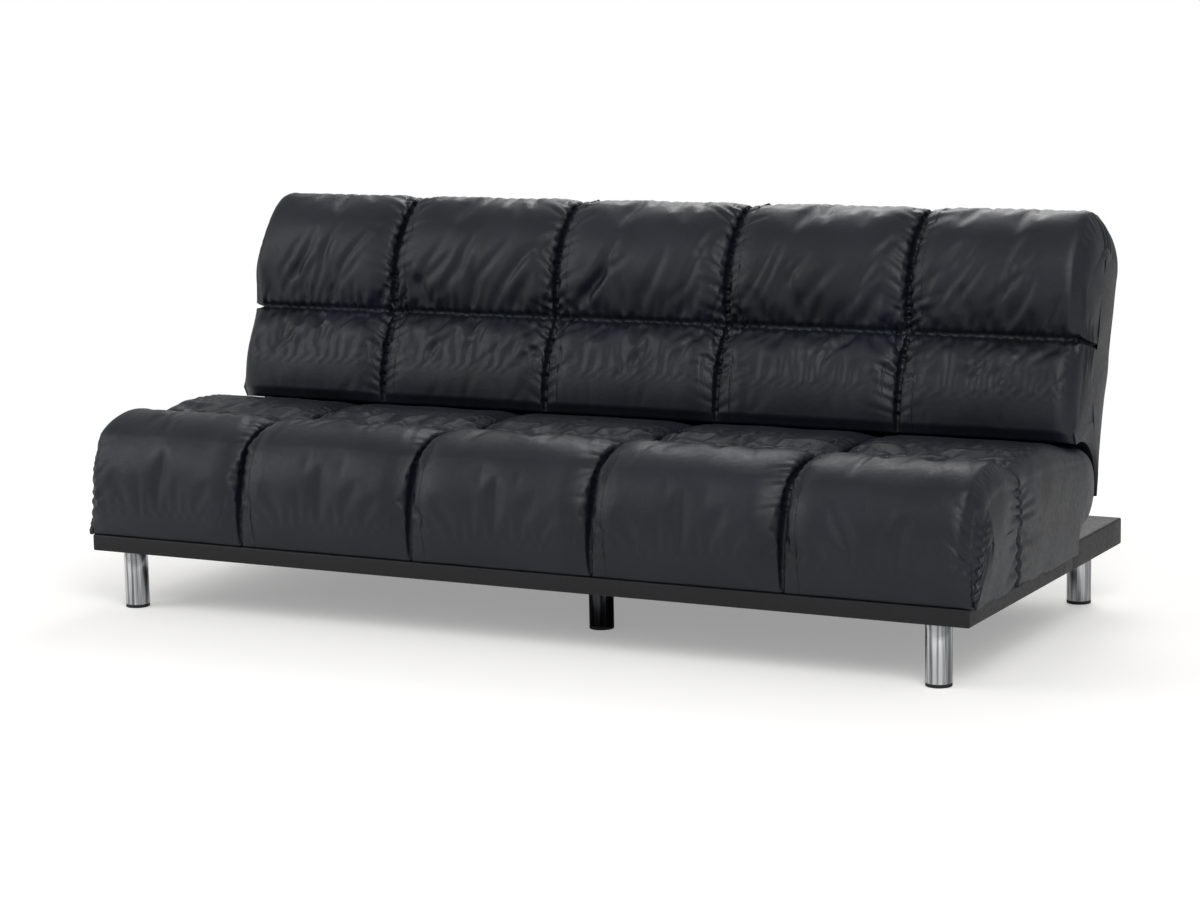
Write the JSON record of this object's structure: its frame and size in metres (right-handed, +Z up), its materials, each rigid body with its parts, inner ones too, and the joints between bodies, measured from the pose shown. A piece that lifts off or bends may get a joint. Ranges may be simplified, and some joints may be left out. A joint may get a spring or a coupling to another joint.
{
  "type": "click clack sofa bed",
  "caption": "Armless click clack sofa bed with quilted seat and back cushions on a low base with tube legs; the back reclines on ratchet hinges until it lies flat.",
  "frame": {"origin": "on the floor, under the centre of the bounding box at rest, with the back upright", "axes": "+X along the sofa to the sitter's left, as seen from the front to the right; +Y to the rear; +Z up"},
  "size_m": [1.82, 0.8241, 0.751],
  "materials": {
    "quilted_leatherette": "satin",
    "base_leatherette": "satin",
    "dust_cloth": "matte",
    "rear_cloth": "satin",
    "chrome_tube": "polished",
    "black_chrome": "polished",
    "glide_plastic": "matte",
    "zinc_steel": "satin",
    "hinge_steel": "satin",
    "foam": "matte",
    "elastic_webbing": "matte",
    "frame_timber": "matte"
  },
  "bodies": {
    "base": {"beam_cover": "base_leatherette", "beam_front_rail": "frame_timber", "beam_left_rail": "frame_timber", "beam_rear_rail": "frame_timber", "beam_right_rail": "frame_timber", "beam_top_panel": "frame_timber", "corner_legs": "chrome_tube", "dust_cover": "dust_cloth", "hinge_lower_plate_left": "hinge_steel", "hinge_lower_plate_right": "hinge_steel", "hinge_pins": "zinc_steel", "leg_centre": "black_chrome", "leg_glides": "glide_plastic", "leg_studs": "zinc_steel", "pawl_pins": "zinc_steel", "pawl_spring_left": "zinc_steel", "pawl_spring_right": "zinc_steel", "plinth_cover": "base_leatherette", "plinth_cross_rails": "frame_timber", "plinth_front_rail": "frame_timber", "plinth_left_rail": "frame_timber", "plinth_rear_rail": "frame_timber", "plinth_right_rail": "frame_timber", "seat_centre_rail": "frame_timber", "seat_cross_webbing": "elastic_webbing", "seat_cushion": "quilted_leatherette", "seat_foam": "foam", "seat_front_rail": "frame_timber", "seat_hinge_rail_left": "frame_timber", "seat_hinge_rail_right": "frame_timber", "seat_left_rail": "frame_timber", "seat_rear_rail": "frame_timber", "seat_right_rail": "frame_timber", "seat_webbing": "elastic_webbing"},
    "back": {"back_bottom_rail": "frame_timber", "back_centre_rail": "frame_timber", "back_cushion": "quilted_leatherette", "back_foam": "foam", "back_hinge_stile_left": "frame_timber", "back_hinge_stile_right": "frame_timber", "back_left_rail": "frame_timber", "back_rear_panel": "rear_cloth", "back_right_rail": "frame_timber", "back_top_rail": "frame_timber", "back_webbing": "elastic_webbing", "hinge_arm_left": "hinge_steel", "hinge_arm_right": "hinge_steel"},
    "pawl_left": {"pawl_left": "zinc_steel"},
    "pawl_right": {"pawl_right": "zinc_steel"}
  },
  "joints": [
    {"name": "back_recline", "type": "hinge", "parent": "base", "child": "back", "pos_m": [0, 0.165, 0.256], "axis": [-1, 0, 0], "range_deg": [-3, 72.5]},
    {"name": "pawl_right_lift", "type": "hinge", "parent": "base", "child": "pawl_right", "pos_m": [0.7825, 0.118, 0.284], "axis": [-1, 0, 0], "range_deg": [0, 12], "stiffness_Nm_per_rad": 0.5, "springref_deg": -20.05, "deforming": ["pawl_spring_right"]},
    {"name": "pawl_left_lift", "type": "hinge", "parent": "base", "child": "pawl_left", "pos_m": [-0.7825, 0.118, 0.284], "axis": [-1, 0, 0], "range_deg": [0, 12], "stiffness_Nm_per_rad": 0.5, "springref_deg": -20.05, "deforming": ["pawl_spring_left"]}
  ],
  "couplings": [
    {"joint": "pawl_left_lift", "follows": "pawl_right_lift", "ratio": 1}
  ]
}
